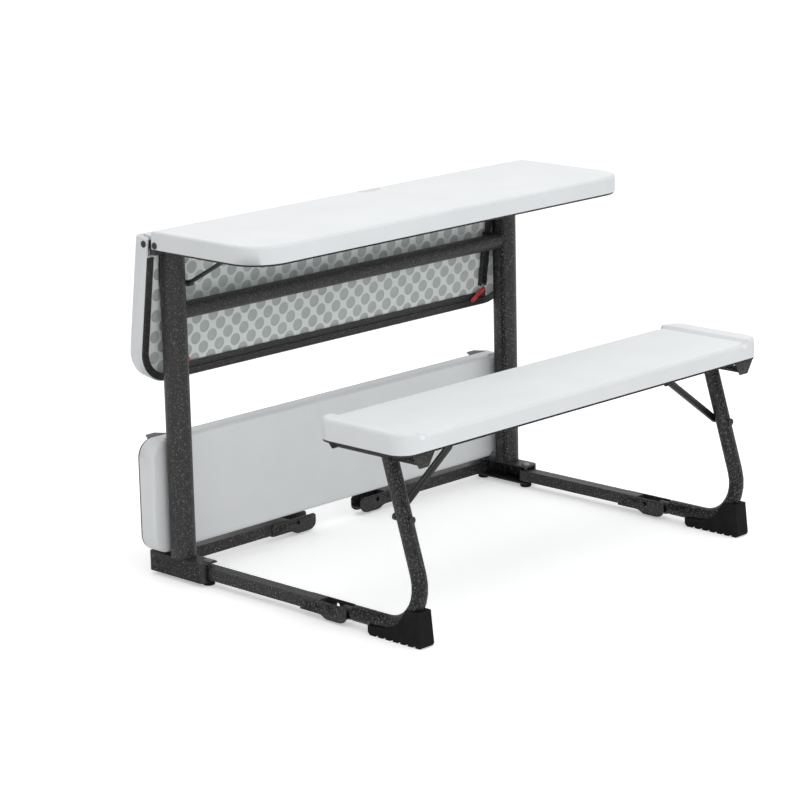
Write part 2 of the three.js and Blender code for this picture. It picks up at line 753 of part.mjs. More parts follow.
function rivetedBracket(sign) {
  let bracket = endBracket();
  const middle = (BEAM_BOTTOM + BEAM_TOP) / 2;
  const faces = [-1, 1];
  for (const face of faces) {
    for (const y of SOCKET_RIVETS) {
      const head = boltHead(RIVET_R, RIVET_HEAD + 0.5, 10).rotateY(face * Math.PI / 2);
      bracket = join(bracket, head.translate(face * (SOCKET_OUTER - 0.5), y, middle));
    }
  }
  // The large bolt stands on the outer wall, and a hole shows on the inner one
  const bolt = boltHead(8, 3.5, 14).rotateY(sign * Math.PI / 2);
  bracket = join(bracket, bolt.translate(sign * (SOCKET_OUTER - 0.5), SOCKET_BOLT, middle));
  const hole = rodX(5, -sign * (SOCKET_INNER - 2), -sign * (SOCKET_OUTER + 2), SOCKET_BOLT, middle);
  return cut(bracket, hole);
}

for (const { bench, word, sign, out } of FOUR) {
  const group = new THREE.Group();
  group.position.set(sign * BEAM_X, out * BEAM_PIVOT_Y, 0);
  if (bench === "near") {
    group.rotation.z = Math.PI;
  } else {
    group.rotation.z = sign * Math.PI / 2;
  }
  const outerFace = bench === "near" ? -sign : sign;
  addMesh(group, `floor_beam_${bench}_${word}`, beam(), CHARCOAL);
  addMesh(group, `beam_end_bracket_${bench}_${word}`, rivetedBracket(outerFace), CHARCOAL);
  model.add(group);
}

// Benches, drawn flat with v outward from the centre line and w up from the underside

function benchSeat() {
  const half = BENCH_LENGTH / 2;
  const wide = BENCH_WIDTH / 2;
  const r = BENCH_CORNER;
  const outline = () => roundedRectangle(-half, half, -wide, wide, [r, r, r, r]);
  let seat = slab(outline(), BENCH_THICK, BENCH_EDGE, 6);
  const high = BENCH_THICK + RIDGE_HEIGHT;
  const ridgeX = half - RIDGE_WIDTH;
  for (const { sign } of SIDES) {
    const wedge = polygon([
      [sign * ridgeX, BENCH_THICK - BENCH_EDGE],
      [sign * (half + 5), BENCH_THICK - BENCH_EDGE],
      [sign * (half + 5), high + 5],
      [sign * (ridgeX + RIDGE_SLOPE), high + 5],
      [sign * (ridgeX + RIDGE_SLOPE), high],
      [sign * ridgeX, BENCH_THICK],
    ]);
    const ridge = common(
      plate(outline(), 0, high, BENCH_EDGE, 6),
      plateXZ(wedge, -wide - 5, wide + 5)
    );
    seat = join(seat, ridge);
    for (const edge of [-1, 1]) {
      const scoop = new THREE.SphereGeometry(NOTCH_R, 14, 10).translate(
        sign * (ridgeX - NOTCH_R / 2), edge * (wide + NOTCH_OUT), BENCH_THICK + NOTCH_RISE
      );
      seat = cut(seat, scoop);
    }
  }
  return seat;
}

// The leg's centre line, from its pivot down to the bend, with heights above the floor
const LEG_TOP_Z = BENCH_UNDER - LEG_DROP;
const SPLAY = rad(LEG_SPLAY_DEG);
const BEND_Z = LEG_LOW_Z + LEG_BEND_R;
const BEND_TOP_V = LEG_BEND_V + LEG_BEND_R * Math.cos(SPLAY);
const BEND_TOP_Z = BEND_Z + LEG_BEND_R * Math.sin(SPLAY);

function legV(z) {
  return BEND_TOP_V - (z - BEND_TOP_Z) * Math.tan(SPLAY);
}

// Leg brace: pivot on the leg, bar on the inner side of the leg
const LEG_BRACE_Z = LEG_TOP_Z - LEG_BRACE_DROP;
const LEG_BRACE_RISE = LEG_DROP + LEG_BRACE_DROP - LEG_BRACE_TIP_DROP;
const LEG_BRACE_LENGTH = LEG_BRACE_Z - BEND_Z + LEG_BEND_R - LEG_BRACE_CLEAR;
const LEG_BRACE_TURN = Math.asin(LEG_BRACE_RISE / LEG_BRACE_LENGTH);
const LEG_BRACE_V = legV(LEG_BRACE_Z);
const LEG_BRACE_REACH = LEG_BRACE_Z + LEG_BRACE_HALF / Math.cos(LEG_BRACE_TURN) + 2;
const LEG_BRACE_OUTER_V = legV(LEG_BRACE_REACH) - LEG_R / Math.cos(SPLAY) - GAP;
const LEG_BRACE_INNER_V = LEG_BRACE_OUTER_V - LEG_BRACE_THICK;
const LEG_BRACE_RUN = LEG_BRACE_LENGTH * Math.cos(LEG_BRACE_TURN);
const LEG_BRACE_TIP_Z = LEG_BRACE_Z + LEG_BRACE_RISE;
// Stowed, the tip is as far below the seat as when it is set up
const LEG_BRACE_STOWED = Math.asin((LEG_BRACE_TIP_Z - LEG_TOP_Z) / LEG_BRACE_LENGTH);

const EAR_OUTER_V = BENCH_WIDTH / 2 - BENCH_RAIL_INSET;
const EAR_INNER_V = EAR_OUTER_V - EAR_THICK;
const EAR_DEPTH = LEG_DROP + LEG_PIN_R + GAP + EAR_WALL;

function benchRail() {
  const half = BENCH_LENGTH / 2 - BENCH_RAIL_INSET;
  const wide = EAR_OUTER_V;
  const r = BENCH_CORNER - BENCH_RAIL_INSET;
  const s = r - RAIL_WIDTH;
  const shape = roundedRectangle(-half, half, -wide, wide, [r, r, r, r]);
  const inside = roundedRectangle(
    -half + RAIL_WIDTH, half - RAIL_WIDTH, -wide + RAIL_WIDTH, wide - RAIL_WIDTH, [s, s, s, s]
  );
  shape.holes.push(new THREE.Path(inside.getPoints(6)));
  const low = -GAP - BENCH_RAIL_THICK;
  let rail = plate(shape, low, -GAP, 0, 6);
  for (const { sign } of SIDES) {
    const ear = polygon([
      [sign * LEG_X - EAR_TOP_HALF, -GAP - 1],
      [sign * LEG_X - EAR_LOW_HALF, -EAR_DEPTH],
      [sign * LEG_X + EAR_LOW_HALF, -EAR_DEPTH],
      [sign * LEG_X + EAR_TOP_HALF, -GAP - 1],
    ]);
    const pin = rodY(LEG_PIN_R + GAP, -wide - 5, wide + 5, sign * LEG_X, -LEG_DROP);
    rail = join(
      rail,
      cut(plateXZ(ear, EAR_INNER_V, EAR_OUTER_V), pin),
      cut(plateXZ(ear, -EAR_OUTER_V, -EAR_INNER_V), pin)
    );
    // A strap across the underside with a lug beside the tip of the leg brace
    const middle = sign * (LEG_X - LEG_BRACE_RUN);
    const x0 = middle - STRAP_WIDTH / 2;
    const x1 = middle + STRAP_WIDTH / 2;
    const lugV = LEG_BRACE_INNER_V - GAP;
    const lugLow = LEG_BRACE_TIP_Z - LEG_BRACE_HALF - BENCH_UNDER;
    rail = join(
      rail,
      box(x0, x1, -wide + 2, wide - 2, low, -GAP),
      box(x0, x1, lugV - LUG_THICK, lugV, lugLow, -GAP)
    );
  }
  return rail;
}

// Leg, with its pivot at the origin: v along +Y, heights along +Z

// One step down the straight, steps round the bend, and one step along the floor
const LEG_STEPS = 11;

class LegLine extends THREE.Curve {
  getPoint(t) {
    const step = t * LEG_STEPS;
    const start = new THREE.Vector3(0, legV(LEG_TOP_Z), 0);
    const end = new THREE.Vector3(0, SWAGE_START + NECK, LEG_LOW_Z - LEG_TOP_Z);
    const turn = THREE.MathUtils.clamp((step - 1) / (LEG_STEPS - 2), 0, 1);
    const angle = SPLAY - turn * (Math.PI / 2 + SPLAY);
    const bend = new THREE.Vector3(
      0, LEG_BEND_V + LEG_BEND_R * Math.cos(angle),
      BEND_Z - LEG_TOP_Z + LEG_BEND_R * Math.sin(angle)
    );
    if (step < 1) {
      return start.lerp(bend, step);
    }
    if (step > LEG_STEPS - 1) {
      return bend.lerp(end, step - LEG_STEPS + 1);
    }
    return bend;
  }

  getSpacedPoints(count) {
    return this.getPoints(count);
  }

  getTangentAt(t) {
    return this.getTangent(t);
  }
}

function circle(r) {
  const shape = new THREE.Shape();
  shape.absarc(0, 0, r, 0, Math.PI * 2, false);
  return shape;
}

function tube(r) {
  return new THREE.ExtrudeGeometry(circle(r), {
    extrudePath: new LegLine(),
    steps: LEG_STEPS,
    curveSegments: 8,
  });
}

function leg() {
  const axle = rodY(LEG_AXLE_R, -EAR_INNER_V + GAP, EAR_INNER_V - GAP, 0, 0, 14);
  const pin = rodY(LEG_PIN_R, -EAR_OUTER_V, EAR_OUTER_V, 0, 0, 12);
  const swage = rodY(SWAGE_R, SWAGE_END, SWAGE_START + 2, 0, LEG_LOW_Z - LEG_TOP_Z, 16);
  const neckProfile = [
    new THREE.Vector2(0, 0),
    new THREE.Vector2(SWAGE_R, 0),
    new THREE.Vector2(LEG_R, NECK - 1),
    new THREE.Vector2(LEG_R, NECK + 1),
    new THREE.Vector2(0, NECK + 1),
  ];
  const neck = new THREE.LatheGeometry(neckProfile, 16);
  neck.translate(0, SWAGE_START, LEG_LOW_Z - LEG_TOP_Z);
  const stud = rodY(
    STUD_R + GAP, LEG_BRACE_V - 3 * LEG_R, LEG_BRACE_V + 3 * LEG_R, 0, LEG_BRACE_Z - LEG_TOP_Z, 12
  );
  return cut(join(tube(LEG_R), axle, pin, swage, neck), stud);
}

function foot() {
  const lift = -LEG_TOP_Z;
  const back = -FOOT_BACK;
  const tip = FOOT_TIP;
  const side = FOOT_HALF_WIDTH + 1;
  const shape = new THREE.Shape();
  shape.moveTo(back + 6, 0);
  shape.lineTo(tip - 8, 0);
  shape.quadraticCurveTo(tip, 0, tip, 9);
  shape.lineTo(tip - 7, FOOT_TOP);
  shape.lineTo(LEG_BEND_V + LEG_BEND_R * 0.74, FOOT_TOP);
  shape.quadraticCurveTo(LEG_BEND_V + LEG_BEND_R * 0.5, FOOT_HOLLOW, LEG_BEND_V + 10, LEG_LOW_Z - 6);
  shape.lineTo(back, LEG_LOW_Z - 10);
  shape.lineTo(back, 6);
  let boot = plateYZ(shape, -FOOT_HALF_WIDTH, FOOT_HALF_WIDTH, 8);
  boot.translate(0, 0, lift);
  for (let v = back + TREAD_PITCH; v < tip - TREAD_PITCH; v += TREAD_PITCH) {
    boot = cut(boot, box(-side, side, v, v + TREAD_WIDTH, lift - 5, lift + FOOT_RIB));
  }
  return cut(boot, tube(LEG_R + GAP));
}

// Leg brace, with the stud's axis at the origin and the bar along +X
function legBrace() {
  const bar = plateXZ(
    link(LEG_BRACE_LENGTH, LEG_BRACE_HALF, LEG_BRACE_HALF, LEG_BRACE_HALF),
    LEG_BRACE_INNER_V, LEG_BRACE_OUTER_V, 6
  );
  const legFace = legV(LEG_BRACE_Z - STUD_HEAD_R) + LEG_R / Math.cos(SPLAY) + GAP;
  const stud = rodY(STUD_R, LEG_BRACE_INNER_V + 1, legFace + 1, 0, 0, 12);
  const head = boltHead(STUD_HEAD_R, STUD_HEAD, 14).rotateX(-Math.PI / 2);
  const cap = boltHead(STUD_HEAD_R - 1, STUD_HEAD, 14).rotateX(Math.PI / 2);
  return join(
    bar, stud, head.translate(0, legFace, 0), cap.translate(0, LEG_BRACE_INNER_V + 0.5, 0)
  );
}

function makeBench(bench, flip, stowed) {
  const group = new THREE.Group();
  addMesh(group, `bench_seat_${bench}`, benchSeat(), WHITE);
  addMesh(group, `bench_rail_${bench}`, benchRail(), CHARCOAL);
  for (const { word, sign } of SIDES) {
    const side = flip * sign;
    const pivot = new THREE.Group();
    pivot.position.set(side * LEG_X, 0, -LEG_DROP);
    pivot.rotation.y = stowed ? side * Math.PI / 2 : 0;
    addMesh(pivot, `bench_leg_${bench}_${word}`, leg(), CHARCOAL);
    addMesh(pivot, `bench_foot_${bench}_${word}`, foot(), BLACK);
    // Angle of the bar from the way in along X, upward, before the leg turns
    const rise = stowed ? LEG_BRACE_STOWED - Math.PI / 2 : LEG_BRACE_TURN;
    const bar = addMesh(pivot, `leg_brace_${bench}_${word}`, legBrace(), BLACK);
    bar.position.set(0, 0, LEG_BRACE_Z - LEG_TOP_Z);
    bar.rotation.y = side < 0 ? -rise : -(Math.PI - rise);
    group.add(pivot);
  }
  return group;
}

const nearBench = makeBench("near", -1, false);
nearBench.position.set(0, -BENCH_CENTRE, BENCH_UNDER);
nearBench.rotation.z = Math.PI;
model.add(nearBench);

// The far bench stands on edge on the beam bolts, its seat towards the posts and its feet down
const farBench = makeBench("far", -1, true);
const STOWED_Y = POST_DEPTH / 2 + STOW_CLEAR + BENCH_THICK + RIDGE_HEIGHT;
const STOWED_Z = BOLT_HEAD_TOP + GAP + BENCH_WIDTH / 2;
farBench.position.set(0, STOWED_Y, STOWED_Z);
farBench.rotation.set(Math.PI / 2, 0, Math.PI);
model.add(farBench);

// The origin is at the middle of the footprint, on the floor
model.updateMatrixWorld(true);
const bounds = new THREE.Box3().setFromObject(model, true);
const shift = -(bounds.min.y + bounds.max.y) / 2;
for (const child of model.children) {
  child.position.y += shift;
}
model.updateMatrixWorld(true);

export default model;
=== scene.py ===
import json
import math

import bmesh
import bpy
from mathutils import Matrix, Vector


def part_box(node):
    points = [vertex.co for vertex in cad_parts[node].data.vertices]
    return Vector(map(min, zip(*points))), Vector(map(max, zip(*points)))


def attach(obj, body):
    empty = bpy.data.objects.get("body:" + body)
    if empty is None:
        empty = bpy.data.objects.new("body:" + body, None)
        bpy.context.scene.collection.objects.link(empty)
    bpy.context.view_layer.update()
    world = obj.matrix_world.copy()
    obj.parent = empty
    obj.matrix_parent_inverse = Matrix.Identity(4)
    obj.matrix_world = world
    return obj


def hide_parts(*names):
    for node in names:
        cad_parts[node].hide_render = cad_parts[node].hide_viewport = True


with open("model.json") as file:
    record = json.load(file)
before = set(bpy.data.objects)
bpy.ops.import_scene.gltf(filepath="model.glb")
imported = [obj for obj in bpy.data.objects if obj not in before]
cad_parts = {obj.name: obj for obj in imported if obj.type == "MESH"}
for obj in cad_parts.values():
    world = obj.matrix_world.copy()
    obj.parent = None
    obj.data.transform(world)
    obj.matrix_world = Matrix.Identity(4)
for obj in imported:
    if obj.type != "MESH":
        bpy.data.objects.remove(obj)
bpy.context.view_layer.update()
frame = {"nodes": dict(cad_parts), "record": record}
nodes = frame["nodes"]

# Places on the table, in millimetres from its own centre line, which lies at SHIFT in the frame
SHIFT = 289.5
HINGE_OFFSET = 16.5
HINGE_RISE = 8.0
HINGE_Z = 712.0
TOP_UNDER = 704.0
FOLD = math.radians(82)
BENCH_CENTRE = 570.0
BENCH_UNDER = 388.0
STOWED_Y = 70.5
STOWED_Z = 174.1
POST_X = 496.0
POST_R = 24.5
POST_FLAT = 2.5
CROSSBAR_Z = 565.0
LEVER_X = 448.0
LEVER_V = 291.0
LEVER_FACE = -7.6
LEVER_TURN = math.radians(32)
SIDES = (("left", -1), ("right", 1))

# Shading of edges, in metres and radians
MERGE_DISTANCE = 0.00002
SHARP_ANGLE = math.radians(38)
SHARP_ANGLE_SMALL = math.radians(40)
FOOT_ROUNDING = 0.0035
FOOT_ROUND_ANGLE = math.radians(50)


def at(x, y, z):
    """A point of the frame in metres, from millimetres measured off the table's centre line."""
    return Vector((x / 1000, (y + SHIFT) / 1000, z / 1000))


def under_top(side, x, v, w):
    """A point of a half top: v outward from the seam, w up from the underside."""
    if side == "near":
        return at(x, -v, TOP_UNDER + w)
    along = v - HINGE_OFFSET
    rise = w - HINGE_RISE
    y = HINGE_OFFSET + along * math.cos(FOLD) + rise * math.sin(FOLD)
    z = HINGE_Z - along * math.sin(FOLD) + rise * math.cos(FOLD)
    return at(x, y, z)


def under_bench(side, x, v, w):
    """A point of a bench: v outward from its centre line, w up from the underside."""
    if side == "near":
        return at(x, -BENCH_CENTRE - v, BENCH_UNDER + w)
    return at(x, STOWED_Y - w, STOWED_Z - v)


# Materials

def new_material(name):
    material = bpy.data.materials.new(name)
    material.use_nodes = True
    tree = material.node_tree
    shader = tree.nodes["Principled BSDF"]
    place = tree.nodes.new("ShaderNodeTexCoord")
    return material, tree, shader, place.outputs["Object"]


def noise(tree, place, scale, detail=3.0, rough=0.55):
    node = tree.nodes.new("ShaderNodeTexNoise")
    node.inputs["Scale"].default_value = scale
    node.inputs["Detail"].default_value = detail
    node.inputs["Roughness"].default_value = rough
    tree.links.new(place, node.inputs["Vector"])
    return node.outputs["Fac"]


def cells(tree, place, scale):
    node = tree.nodes.new("ShaderNodeTexVoronoi")
    node.feature = "SMOOTH_F1"
    node.inputs["Scale"].default_value = scale
    node.inputs["Smoothness"].default_value = 0.6
    tree.links.new(place, node.inputs["Vector"])
    return node.outputs["Distance"]


def ramp(tree, value, stops):
    node = tree.nodes.new("ShaderNodeValToRGB")
    elements = node.color_ramp.elements
    while len(elements) < len(stops):
        elements.new(0.5)
    for element, (spot, colour) in zip(elements, stops):
        element.position = spot
        element.color = (*colour, 1.0)
    tree.links.new(value, node.inputs["Fac"])
    return node.outputs["Color"]


def spread(tree, value, low, high):
    node = tree.nodes.new("ShaderNodeMapRange")
    node.inputs["To Min"].default_value = low
    node.inputs["To Max"].default_value = high
    tree.links.new(value, node.inputs["Value"])
    return node.outputs["Result"]


def blend_colours(tree, factor, first, second, mode="MIX"):
    node = tree.nodes.new("ShaderNodeMix")
    node.data_type = "RGBA"
    node.blend_type = mode
    node.clamp_factor = True
    if isinstance(factor, float):
        node.inputs["Factor"].default_value = factor
    else:
        tree.links.new(factor, node.inputs["Factor"])
    for socket, colour in ((node.inputs[6], first), (node.inputs[7], second)):
        if isinstance(colour, tuple):
            socket.default_value = (*colour, 1.0)
        else:
            tree.links.new(colour, socket)
    return node.outputs[2]


def bump(tree, shader, height, strength, distance, after=None):
    node = tree.nodes.new("ShaderNodeBump")
    node.inputs["Strength"].default_value = strength
    node.inputs["Distance"].default_value = distance
    tree.links.new(height, node.inputs["Height"])
    if after is not None:
        tree.links.new(after, node.inputs["Normal"])
    tree.links.new(node.outputs["Normal"], shader.inputs["Normal"])
    return node.outputs["Normal"]


def painted_edge_highlight(tree, colour, edge_highlight, amount):
    """Painted highlight: lighter colour along outer edges, from how much the surface sticks out there."""
    geometry = tree.nodes.new("ShaderNodeNewGeometry")
    highlight_mask = ramp(tree, geometry.outputs["Pointiness"], [(0.52, (0, 0, 0)), (0.6, (1, 1, 1))])
    scaled = tree.nodes.new("ShaderNodeMath")
    scaled.operation = "MULTIPLY"
    scaled.inputs[1].default_value = amount
    tree.links.new(highlight_mask, scaled.inputs[0])
    return blend_colours(tree, scaled.outputs[0], colour, edge_highlight)


def hammered_paint(name, level):
    """Charcoal hammer-finish paint: small round cells with soft borders, each painted lighter at its centre
    as a highlight and darker at its border as shade; darker at a lower level.
    """
    material, tree, shader, place = new_material(name)
    cell = cells(tree, place, 330.0)
    fine = noise(tree, place, 900.0)
    cloud = noise(tree, place, 14.0, 2.0)
    fleck = noise(tree, place, 260.0, 2.0)
    # Painted highlight at each cell's centre, painted shade at its border
    painted_cell_shading = ramp(tree, cell, [
        (0.05, (0.075, 0.071, 0.072)), (0.3, (0.020, 0.0188, 0.0192)), (0.65, (0.004, 0.0037, 0.004))
    ])
    shade = ramp(tree, cloud, [
        (0.3, (0.86 * level, 0.86 * level, 0.87 * level)), (0.7, (1.08 * level, 1.07 * level, 1.06 * level))
    ])
    colour = blend_colours(tree, 1.0, painted_cell_shading, shade, "MULTIPLY")
    glint = 0.6 * level
    sparkle = ramp(tree, fleck, [(0.56, (0, 0, 0)), (0.68, (glint, glint, glint))])
    colour = blend_colours(tree, sparkle, colour, (0.190, 0.184, 0.183))
    # Painted highlight along the outer edges of the paint
    colour = painted_edge_highlight(tree, colour, (0.11, 0.108, 0.106), 0.3)
    tree.links.new(colour, shader.inputs["Base Color"])
    tree.links.new(spread(tree, fine, 0.34, 0.52), shader.inputs["Roughness"])
    shader.inputs["Metallic"].default_value = 0.3
    shader.inputs["Specular IOR Level"].default_value = 0.16
    shader.inputs["Coat Weight"].default_value = 0.03
    shader.inputs["Coat Roughness"].default_value = 0.25
    first = bump(tree, shader, cell, 0.55, 0.0007)
    bump(tree, shader, fine, 0.12, 0.0002, first)
    return material


def moulded_plastic(name, low, high, grain):
    """Blow-moulded polyethylene with a fine grain and a faint mottle."""
    material, tree, shader, place = new_material(name)
    cloud = noise(tree, place, 9.0, 3.0)
    fine = noise(tree, place, 1500.0, 2.0)
    pores = cells(tree, place, 800.0)
    colour = ramp(tree, cloud, [(0.3, low), (0.72, high)])
    tree.links.new(colour, shader.inputs["Base Color"])
    tree.links.new(spread(tree, fine, 0.42, 0.6), shader.inputs["Roughness"])
    shader.inputs["Subsurface Weight"].default_value = 0.03
    shader.inputs["Subsurface Radius"].default_value = (0.004, 0.004, 0.004)
    shader.inputs["IOR"].default_value = 1.5
    shader.inputs["Specular IOR Level"].default_value = 0.22
    first = bump(tree, shader, pores, grain, 0.0003)
    bump(tree, shader, fine, grain * 0.5, 0.0001, first)
    return material


def rubber():
    material, tree, shader, place = new_material("black_rubber")
    fine = noise(tree, place, 1100.0, 3.0)
    cloud = noise(tree, place, 40.0, 2.0)
    colour = ramp(tree, cloud, [(0.3, (0.006, 0.006, 0.006)), (0.75, (0.013, 0.0125, 0.0125))])
    # Painted highlight along the outer edges of the rubber
    colour = painted_edge_highlight(tree, colour, (0.032, 0.031, 0.030), 0.4)
    tree.links.new(colour, shader.inputs["Base Color"])
    tree.links.new(spread(tree, fine, 0.58, 0.8), shader.inputs["Roughness"])
    shader.inputs["Specular IOR Level"].default_value = 0.08
    bump(tree, shader, fine, 0.3, 0.0004)
    return material


def satin_black():
    material, tree, shader, place = new_material("satin_black_paint")
    fine = noise(tree, place, 700.0, 2.0)
    cloud = noise(tree, place, 25.0, 2.0)
    colour = ramp(tree, cloud, [(0.3, (0.009, 0.009, 0.009)), (0.7, (0.017, 0.0165, 0.0165))])
    # Painted highlight along the outer edges of the paint
    colour = painted_edge_highlight(tree, colour, (0.11, 0.11, 0.11), 0.4)
    tree.links.new(colour, shader.inputs["Base Color"])
    tree.links.new(spread(tree, fine, 0.32, 0.46), shader.inputs["Roughness"])
    shader.inputs["Metallic"].default_value = 0.15
    shader.inputs["Specular IOR Level"].default_value = 0.16
    bump(tree, shader, fine, 0.15, 0.0003)
    return material


def plated_steel():
    """Dark zinc plate with fine drawn lines and a cloudy sheen."""
    material, tree, shader, place = new_material("dark_plated_steel")
    stretch = tree.nodes.new("ShaderNodeMapping")
    stretch.inputs["Scale"].default_value = (1.0, 14.0, 14.0)
    tree.links.new(place, stretch.inputs["Vector"])
    lines = noise(tree, stretch.outputs["Vector"], 160.0, 4.0)
    cloud = noise(tree, place, 60.0, 3.0)
    colour = ramp(tree, cloud, [(0.25, (0.10, 0.10, 0.102)), (0.75, (0.20, 0.198, 0.195))])
    # Painted highlight along the outer edges of the plated steel
    colour = painted_edge_highlight(tree, colour, (0.42, 0.42, 0.42), 0.5)
    tree.links.new(colour, shader.inputs["Base Color"])
    tree.links.new(spread(tree, lines, 0.28, 0.5), shader.inputs["Roughness"])
    shader.inputs["Metallic"].default_value = 0.85
    bump(tree, shader, lines, 0.12, 0.0002)
    return material


def red_plastic():
    material, tree, shader, place = new_material("red_plastic")
    fine = noise(tree, place, 900.0, 2.0)
    cloud = noise(tree, place, 50.0, 2.0)
    colour = ramp(tree, cloud, [(0.3, (0.50, 0.012, 0.012)), (0.75, (0.66, 0.030, 0.022))])
    # Painted highlight along the outer edges of the plastic
    colour = painted_edge_highlight(tree, colour, (0.78, 0.16, 0.12), 0.5)
    tree.links.new(colour, shader.inputs["Base Color"])
    tree.links.new(spread(tree, fine, 0.3, 0.44), shader.inputs["Roughness"])
    shader.inputs["Coat Weight"].default_value = 0.2
    bump(tree, shader, fine, 0.1, 0.0002)
    return material


HAMMERED = hammered_paint("hammered_charcoal", 1.0)
# A darker copy of the hammered paint: painted shade for the rails under the top
RAIL_PAINTED_SHADE = hammered_paint("hammered_charcoal_painted_shade", 0.55)
WHITE = moulded_plastic("white_polyethylene", (0.738, 0.757, 0.771), (0.772, 0.791, 0.804), 0.16)
# A lighter copy of the white plastic for the upward faces: painted light
UPPER_PAINTED_LIGHT = moulded_plastic("upper_face_painted_light", (0.820, 0.838, 0.852), (0.850, 0.868, 0.880), 0.16)
# A darker grey-green for the hollows: painted shade in the recesses
HOLLOW_PAINTED_SHADE = moulded_plastic("hollow_painted_shade", (0.475, 0.518, 0.500), (0.545, 0.585, 0.567), 0.2)
# A copy of the white plastic for the downward faces, tinted grey-green and lightened for the light under
# the panels: painted light and shade
UNDERSIDE_PAINTED_SHADING = moulded_plastic("underside_painted_shading", (0.800, 0.838, 0.834), (0.830, 0.866, 0.860), 0.2)
SEAM = moulded_plastic("seam_mark_grey", (0.70, 0.715, 0.727), (0.735, 0.750, 0.760), 0.2)
RUBBER = rubber()
SATIN = satin_black()
STEEL = plated_steel()
RED = red_plastic()
LOOKS = {
    "white_panel": WHITE,
    "hammertone_paint": HAMMERED,
    "black_rubber": RUBBER,
    "black_paint": SATIN,
    "dark_steel": STEEL,
    "red_lever": RED,
}


# Smooth shading for the carried-over solids: flat faces stay flat, curved ones turn smooth

def smoothing_group():
    group = bpy.data.node_groups.new("smooth_shading", "GeometryNodeTree")
    group.interface.new_socket("Geometry", in_out="INPUT", socket_type="NodeSocketGeometry")
    group.interface.new_socket("Geometry", in_out="OUTPUT", socket_type="NodeSocketGeometry")
    start = group.nodes.new("NodeGroupInput")
    end = group.nodes.new("NodeGroupOutput")
    merge = group.nodes.new("GeometryNodeMergeByDistance")
    merge.inputs["Distance"].default_value = MERGE_DISTANCE
    faces = group.nodes.new("GeometryNodeSetShadeSmooth")
    faces.domain = "FACE"
    edges = group.nodes.new("GeometryNodeSetShadeSmooth")
    edges.domain = "EDGE"
    edges.inputs["Shade Smooth"].default_value = False
    angle = group.nodes.new("GeometryNodeInputMeshEdgeAngle")
    sharp = group.nodes.new("FunctionNodeCompare")
    sharp.data_type = "FLOAT"
    sharp.operation = "GREATER_THAN"
    sharp.inputs["B"].default_value = SHARP_ANGLE
    links = group.links
    links.new(start.outputs[0], merge.inputs["Geometry"])
    links.new(merge.outputs["Geometry"], faces.inputs["Geometry"])
    links.new(faces.outputs["Geometry"], edges.inputs["Geometry"])
    links.new(angle.outputs["Unsigned Angle"], sharp.inputs["A"])
    links.new(sharp.outputs["Result"], edges.inputs["Selection"])
    links.new(edges.outputs["Geometry"], end.inputs[0])
    return group


SMOOTH = smoothing_group()


def weigh_normals(obj):
    """Keeps large flat faces flat beside their rounded edges."""
    weight = obj.modifiers.new("weight", "WEIGHTED_NORMAL")
    weight.keep_sharp = True
    weight.weight = 100


def round_corners(obj):
    """Moulded rubber has no sharp corners."""
    soft = obj.modifiers.new("soft", "BEVEL")
    soft.width = FOOT_ROUNDING
    soft.segments = 3
    soft.limit_method = "ANGLE"
    soft.angle_limit = FOOT_ROUND_ANGLE


def shade(obj, rounded):
    smooth = obj.modifiers.new("smooth", "NODES")
    smooth.node_group = SMOOTH
    if rounded:
        round_corners(obj)
    weigh_normals(obj)


slot_of = {entry["node"]: entry["material_slot"] for entry in frame["record"]["subparts"]}
for name, obj in nodes.items():
    obj.data.materials.clear()
    # Rails take the darker copy of their paint, as painted shade
    obj.data.materials.append(RAIL_PAINTED_SHADE if "rail" in name else LOOKS[slot_of[name]])
    shade(obj, name.startswith("bench_foot"))

body_of = {}
for body, members in frame["record"]["behaviour"]["bodies"].items():
    for member in members:
        body_of[member] = body


# Pieces made here

def piece(name, mesh, body, slot, *materials):
    obj = bpy.data.objects.new(name, mesh)
    bpy.context.scene.collection.objects.link(obj)
    for material in materials:
        mesh.materials.append(material)
    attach(obj, body)
    return obj


def mesh_from(bm, name):
    bmesh.ops.recalc_face_normals(bm, faces=bm.faces)
    mesh = bpy.data.meshes.new(name)
    bm.to_mesh(mesh)
    bm.free()
    for polygon in mesh.polygons:
        polygon.use_smooth = True
    mesh.set_sharp_from_angle(angle=SHARP_ANGLE_SMALL)
    return mesh


# Staggered round hollows in the undersides

HALF_PITCH = 22.5
HOLLOW_R = 13.4
HOLLOW_DEPTH = 1.9
HOLLOW_SIDES = 20
# Radius and height of each ring, from below the face to the hollow's floor
HOLLOW_RINGS = (
    (HOLLOW_R, -0.6), (HOLLOW_R, 0.15),
    (HOLLOW_R - 1.2, HOLLOW_DEPTH - 0.7), (HOLLOW_R - 4.0, HOLLOW_DEPTH)
)
HOLLOW_COLUMNS = range(-23, 24)
TOP_ROWS = range(-9, 3)
TOP_ROW_V = 240.0
BENCH_ROWS = range(-4, 5)
# No hollow lies beside the hinges or past the rounded corners
HINGE_X = 470.0
HINGE_V = 60.0
TOP_CORNER_X = 480.0
TOP_CORNER_V = 244.0
TOP_CORNER_REACH = 45.0
BENCH_CORNER_X = 480.0
BENCH_CORNER_V = 60.0

# Materials of a panel, in the order of their slots; the upward faces take a lighter copy of the white as
# painted light, the downward faces a copy coloured as painted light and shade, the hollows a darker
# grey-green as painted shade
EDGE_SLOT, HOLLOW_PAINTED_SHADE_SLOT, UNDERSIDE_PAINTED_SHADING_SLOT, UPPER_PAINTED_LIGHT_SLOT = range(4)
PANEL_MATERIALS = (WHITE, HOLLOW_PAINTED_SHADE, UNDERSIDE_PAINTED_SHADING, UPPER_PAINTED_LIGHT)
FLAT_FACING = 0.97


